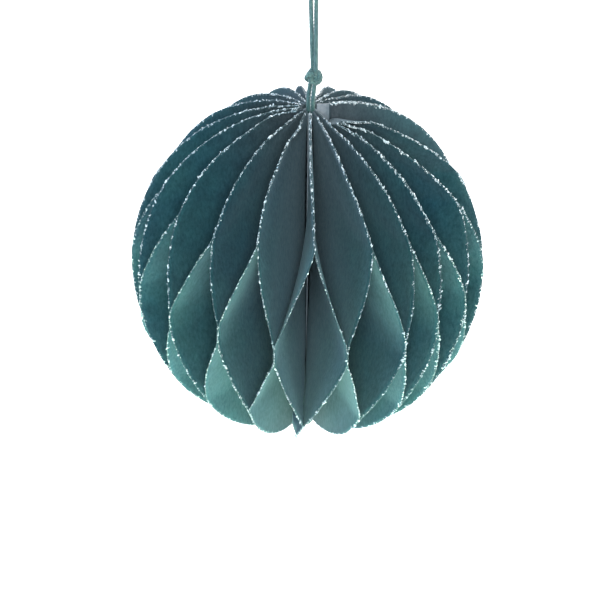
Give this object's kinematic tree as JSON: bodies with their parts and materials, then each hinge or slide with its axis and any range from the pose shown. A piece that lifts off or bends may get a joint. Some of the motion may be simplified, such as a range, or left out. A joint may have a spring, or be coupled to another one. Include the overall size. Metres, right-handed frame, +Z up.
{
  "type": "paper honeycomb ball ornament",
  "caption": "A teal paper honeycomb ball with glittered leaf edges, hanging from a knotted cord loop; it opens from a flat half-disc packet into a sphere",
  "frame": {"origin": "inside top of the hanging loop, where a hook or branch carries it; the ball's centre is 138 mm below", "axes": "+Z up along the cord and the ball's spine, -Y towards the front of the ball as pictured, +X to the right"},
  "size_m": [0.0998, 0.0992, 0.1943],
  "materials": {
    "leaf_paper": "matte dyed paper, silver glitter along the rims",
    "board": "stiff dyed card, silver glitter along the rims",
    "tape": "pale double-sided tape",
    "binding": "pale uncoated paper strip",
    "cord": "twisted satin cord"
  },
  "bodies": {
    "hanging_cord": {"cord": "cord", "loop_knot": "cord", "stop_knot": "cord"},
    "spine": {"spine": "binding", "leaf_20": "leaf_paper"},
    "leaf_01": {"leaf_01": "leaf_paper"},
    "leaf_02": {"leaf_02": "leaf_paper"},
    "leaf_03": {"leaf_03": "leaf_paper"},
    "leaf_04": {"leaf_04": "leaf_paper"},
    "leaf_05": {"leaf_05": "leaf_paper"},
    "leaf_06": {"leaf_06": "leaf_paper"},
    "leaf_07": {"leaf_07": "leaf_paper"},
    "leaf_08": {"leaf_08": "leaf_paper"},
    "leaf_09": {"leaf_09": "leaf_paper"},
    "leaf_10": {"leaf_10": "leaf_paper"},
    "leaf_11": {"leaf_11": "leaf_paper"},
    "leaf_12": {"leaf_12": "leaf_paper"},
    "leaf_13": {"leaf_13": "leaf_paper"},
    "leaf_14": {"leaf_14": "leaf_paper"},
    "leaf_15": {"leaf_15": "leaf_paper"},
    "leaf_16": {"leaf_16": "leaf_paper"},
    "leaf_17": {"leaf_17": "leaf_paper"},
    "leaf_18": {"leaf_18": "leaf_paper"},
    "leaf_19": {"leaf_19": "leaf_paper"},
    "leaf_21": {"leaf_21": "leaf_paper"},
    "leaf_22": {"leaf_22": "leaf_paper"},
    "leaf_23": {"leaf_23": "leaf_paper"},
    "leaf_24": {"leaf_24": "leaf_paper"},
    "leaf_25": {"leaf_25": "leaf_paper"},
    "leaf_26": {"leaf_26": "leaf_paper"},
    "leaf_27": {"leaf_27": "leaf_paper"},
    "leaf_28": {"leaf_28": "leaf_paper"},
    "leaf_29": {"leaf_29": "leaf_paper"},
    "leaf_30": {"leaf_30": "leaf_paper"},
    "leaf_31": {"leaf_31": "leaf_paper"},
    "leaf_32": {"leaf_32": "leaf_paper"},
    "leaf_33": {"leaf_33": "leaf_paper"},
    "leaf_34": {"leaf_34": "leaf_paper"},
    "leaf_35": {"leaf_35": "leaf_paper"},
    "leaf_36": {"leaf_36": "leaf_paper"},
    "board_a": {"end_board_a": "board", "binding_flap_a": "binding", "seam_tape": "tape"},
    "board_b": {"end_board_b": "board", "binding_flap_b": "binding"}
  },
  "joints": [
    {"name": "turn", "type": "hinge", "parent": "hanging_cord", "child": "spine", "pos_m": [0, 0, -0.088], "axis": [0, 0, 1], "continuous": true},
    {"name": "fold_leaf_01", "type": "hinge", "parent": "spine", "child": "leaf_01", "pos_m": [-0.00138, 0.00182, -0.138], "axis": [0, 0, 1], "range_deg": [0, 177.31], "deforming": ["leaf_01"]},
    {"name": "fold_leaf_02", "type": "hinge", "parent": "spine", "child": "leaf_02", "pos_m": [-0.00151, 0.00158, -0.138], "axis": [0, 0, 1], "range_deg": [0, 164.06], "deforming": ["leaf_02"]},
    {"name": "fold_leaf_03", "type": "hinge", "parent": "spine", "child": "leaf_03", "pos_m": [-0.00154, 0.00141, -0.138], "axis": [0, 0, 1], "range_deg": [0, 156.56], "deforming": ["leaf_03"]},
    {"name": "fold_leaf_04", "type": "hinge", "parent": "spine", "child": "leaf_04", "pos_m": [-0.00156, 0.00125, -0.138], "axis": [0, 0, 1], "range_deg": [0, 148.94], "deforming": ["leaf_04"]},
    {"name": "fold_leaf_05", "type": "hinge", "parent": "spine", "child": "leaf_05", "pos_m": [-0.00155, 0.0011, -0.138], "axis": [0, 0, 1], "range_deg": [0, 142.19], "deforming": ["leaf_05"]},
    {"name": "fold_leaf_06", "type": "hinge", "parent": "spine", "child": "leaf_06", "pos_m": [-0.00155, 0.00095, -0.138], "axis": [0, 0, 1], "range_deg": [0, 134.44], "deforming": ["leaf_06"]},
    {"name": "fold_leaf_07", "type": "hinge", "parent": "spine", "child": "leaf_07", "pos_m": [-0.00158, 0.00079, -0.138], "axis": [0, 0, 1], "range_deg": [0, 124.69], "deforming": ["leaf_07"]},
    {"name": "fold_leaf_08", "type": "hinge", "parent": "spine", "child": "leaf_08", "pos_m": [-0.00156, 0.00065, -0.138], "axis": [0, 0, 1], "range_deg": [0, 116.56], "deforming": ["leaf_08"]},
    {"name": "fold_leaf_09", "type": "hinge", "parent": "spine", "child": "leaf_09", "pos_m": [-0.00153, 0.00052, -0.138], "axis": [0, 0, 1], "range_deg": [0, 109.06], "deforming": ["leaf_09"]},
    {"name": "fold_leaf_10", "type": "hinge", "parent": "spine", "child": "leaf_10", "pos_m": [-0.00152, 0.00038, -0.138], "axis": [0, 0, 1], "range_deg": [0, 100.12], "deforming": ["leaf_10"]},
    {"name": "fold_leaf_11", "type": "hinge", "parent": "spine", "child": "leaf_11", "pos_m": [-0.0015, 0.00025, -0.138], "axis": [0, 0, 1], "range_deg": [0, 90.75], "deforming": ["leaf_11"]},
    {"name": "fold_leaf_12", "type": "hinge", "parent": "spine", "child": "leaf_12", "pos_m": [-0.00146, 0.00013, -0.138], "axis": [0, 0, 1], "range_deg": [0, 81.62], "deforming": ["leaf_12"]},
    {"name": "fold_leaf_13", "type": "hinge", "parent": "spine", "child": "leaf_13", "pos_m": [-0.00142, 0.00001, -0.138], "axis": [0, 0, 1], "range_deg": [0, 72.75], "deforming": ["leaf_13"]},
    {"name": "fold_leaf_14", "type": "hinge", "parent": "spine", "child": "leaf_14", "pos_m": [-0.00139, -0.00012, -0.138], "axis": [0, 0, 1], "range_deg": [0, 62.19], "deforming": ["leaf_14"]},
    {"name": "fold_leaf_15", "type": "hinge", "parent": "spine", "child": "leaf_15", "pos_m": [-0.00137, -0.00025, -0.138], "axis": [0, 0, 1], "range_deg": [0, 50.94], "deforming": ["leaf_15"]},
    {"name": "fold_leaf_16", "type": "hinge", "parent": "spine", "child": "leaf_16", "pos_m": [-0.00132, -0.00036, -0.138], "axis": [0, 0, 1], "range_deg": [0, 40.94], "deforming": ["leaf_16"]},
    {"name": "fold_leaf_17", "type": "hinge", "parent": "spine", "child": "leaf_17", "pos_m": [-0.00126, -0.00046, -0.138], "axis": [0, 0, 1], "range_deg": [0, 31.19], "deforming": ["leaf_17"]},
    {"name": "fold_leaf_18", "type": "hinge", "parent": "spine", "child": "leaf_18", "pos_m": [-0.00119, -0.00056, -0.138], "axis": [0, 0, 1], "range_deg": [0, 21], "deforming": ["leaf_18"]},
    {"name": "fold_leaf_19", "type": "hinge", "parent": "spine", "child": "leaf_19", "pos_m": [-0.00114, -0.00068, -0.138], "axis": [0, 0, 1], "range_deg": [0, 10.38], "deforming": ["leaf_19"]},
    {"name": "fold_leaf_21", "type": "hinge", "parent": "spine", "child": "leaf_21", "pos_m": [-0.00103, -0.00089, -0.138], "axis": [0, 0, 1], "range_deg": [-10.12, 0], "deforming": ["leaf_21"]},
    {"name": "fold_leaf_22", "type": "hinge", "parent": "spine", "child": "leaf_22", "pos_m": [-0.00097, -0.00099, -0.138], "axis": [0, 0, 1], "range_deg": [-19.98, 0], "deforming": ["leaf_22"]},
    {"name": "fold_leaf_23", "type": "hinge", "parent": "spine", "child": "leaf_23", "pos_m": [-0.0009, -0.00109, -0.138], "axis": [0, 0, 1], "range_deg": [-29.55, 0], "deforming": ["leaf_23"]},
    {"name": "fold_leaf_24", "type": "hinge", "parent": "spine", "child": "leaf_24", "pos_m": [-0.00081, -0.00118, -0.138], "axis": [0, 0, 1], "range_deg": [-39.27, 0], "deforming": ["leaf_24"]},
    {"name": "fold_leaf_25", "type": "hinge", "parent": "spine", "child": "leaf_25", "pos_m": [-0.0007, -0.00125, -0.138], "axis": [0, 0, 1], "range_deg": [-49.65, 0], "deforming": ["leaf_25"]},
    {"name": "fold_leaf_26", "type": "hinge", "parent": "spine", "child": "leaf_26", "pos_m": [-0.00056, -0.00129, -0.138], "axis": [0, 0, 1], "range_deg": [-61.26, 0], "deforming": ["leaf_26"]},
    {"name": "fold_leaf_27", "type": "hinge", "parent": "spine", "child": "leaf_27", "pos_m": [-0.00044, -0.00135, -0.138], "axis": [0, 0, 1], "range_deg": [-72.41, 0], "deforming": ["leaf_27"]},
    {"name": "fold_leaf_28", "type": "hinge", "parent": "spine", "child": "leaf_28", "pos_m": [-0.00033, -0.00142, -0.138], "axis": [0, 0, 1], "range_deg": [-82.39, 0], "deforming": ["leaf_28"]},
    {"name": "fold_leaf_29", "type": "hinge", "parent": "spine", "child": "leaf_29", "pos_m": [-0.00023, -0.0015, -0.138], "axis": [0, 0, 1], "range_deg": [-90.79, 0], "deforming": ["leaf_29"]},
    {"name": "fold_leaf_30", "type": "hinge", "parent": "spine", "child": "leaf_30", "pos_m": [-0.00015, -0.00159, -0.138], "axis": [0, 0, 1], "range_deg": [-97.56, 0], "deforming": ["leaf_30"]},
    {"name": "fold_leaf_31", "type": "hinge", "parent": "spine", "child": "leaf_31", "pos_m": [-0.00006, -0.00167, -0.138], "axis": [0, 0, 1], "range_deg": [-104.31, 0], "deforming": ["leaf_31"]},
    {"name": "fold_leaf_32", "type": "hinge", "parent": "spine", "child": "leaf_32", "pos_m": [0.00006, -0.00173, -0.138], "axis": [0, 0, 1], "range_deg": [-112.14, 0], "deforming": ["leaf_32"]},
    {"name": "fold_leaf_33", "type": "hinge", "parent": "spine", "child": "leaf_33", "pos_m": [0.00022, -0.00176, -0.138], "axis": [0, 0, 1], "range_deg": [-122.64, 0], "deforming": ["leaf_33"]},
    {"name": "fold_leaf_34", "type": "hinge", "parent": "spine", "child": "leaf_34", "pos_m": [0.0004, -0.00178, -0.138], "axis": [0, 0, 1], "range_deg": [-133.81, 0], "deforming": ["leaf_34"]},
    {"name": "fold_leaf_35", "type": "hinge", "parent": "spine", "child": "leaf_35", "pos_m": [0.00058, -0.0018, -0.138], "axis": [0, 0, 1], "range_deg": [-144.06, 0], "deforming": ["leaf_35"]},
    {"name": "fold_leaf_36", "type": "hinge", "parent": "spine", "child": "leaf_36", "pos_m": [0.00087, -0.00174, -0.138], "axis": [0, 0, 1], "range_deg": [-161.19, 0], "deforming": ["leaf_36"]},
    {"name": "fold_board_a", "type": "hinge", "parent": "spine", "child": "board_a", "pos_m": [-0.00146, 0.00231, -0.138], "axis": [0, 0, 1], "range_deg": [0, 186.81]},
    {"name": "fold", "type": "hinge", "parent": "spine", "child": "board_b", "pos_m": [0.00127, -0.002, -0.138], "axis": [0, 0, 1], "range_deg": [-173.19, 0], "deforming": ["leaf_20"]}
  ],
  "couplings": [
    {"joint": "fold_leaf_01", "follows": "fold", "ratio": -1.0238},
    {"joint": "fold_leaf_02", "follows": "fold", "ratio": -0.94731},
    {"joint": "fold_leaf_03", "follows": "fold", "ratio": -0.90401},
    {"joint": "fold_leaf_04", "follows": "fold", "ratio": -0.85998},
    {"joint": "fold_leaf_05", "follows": "fold", "ratio": -0.821},
    {"joint": "fold_leaf_06", "follows": "fold", "ratio": -0.77625},
    {"joint": "fold_leaf_07", "follows": "fold", "ratio": -0.71996},
    {"joint": "fold_leaf_08", "follows": "fold", "ratio": -0.67304},
    {"joint": "fold_leaf_09", "follows": "fold", "ratio": -0.62974},
    {"joint": "fold_leaf_10", "follows": "fold", "ratio": -0.57813},
    {"joint": "fold_leaf_11", "follows": "fold", "ratio": -0.524},
    {"joint": "fold_leaf_12", "follows": "fold", "ratio": -0.47131},
    {"joint": "fold_leaf_13", "follows": "fold", "ratio": -0.42007},
    {"joint": "fold_leaf_14", "follows": "fold", "ratio": -0.35908},
    {"joint": "fold_leaf_15", "follows": "fold", "ratio": -0.29412},
    {"joint": "fold_leaf_16", "follows": "fold", "ratio": -0.23638},
    {"joint": "fold_leaf_17", "follows": "fold", "ratio": -0.18008},
    {"joint": "fold_leaf_18", "follows": "fold", "ratio": -0.12126},
    {"joint": "fold_leaf_19", "follows": "fold", "ratio": -0.059906},
    {"joint": "fold_leaf_21", "follows": "fold", "ratio": 0.058463},
    {"joint": "fold_leaf_22", "follows": "fold", "ratio": 0.11534},
    {"joint": "fold_leaf_23", "follows": "fold", "ratio": 0.17062},
    {"joint": "fold_leaf_24", "follows": "fold", "ratio": 0.22678},
    {"joint": "fold_leaf_25", "follows": "fold", "ratio": 0.28668},
    {"joint": "fold_leaf_26", "follows": "fold", "ratio": 0.35374},
    {"joint": "fold_leaf_27", "follows": "fold", "ratio": 0.41812},
    {"joint": "fold_leaf_28", "follows": "fold", "ratio": 0.47571},
    {"joint": "fold_leaf_29", "follows": "fold", "ratio": 0.52421},
    {"joint": "fold_leaf_30", "follows": "fold", "ratio": 0.56334},
    {"joint": "fold_leaf_31", "follows": "fold", "ratio": 0.60231},
    {"joint": "fold_leaf_32", "follows": "fold", "ratio": 0.64749},
    {"joint": "fold_leaf_33", "follows": "fold", "ratio": 0.70812},
    {"joint": "fold_leaf_34", "follows": "fold", "ratio": 0.77265},
    {"joint": "fold_leaf_35", "follows": "fold", "ratio": 0.83183},
    {"joint": "fold_leaf_36", "follows": "fold", "ratio": 0.93071},
    {"joint": "fold_board_a", "follows": "fold", "ratio": -1.0787}
  ]
}
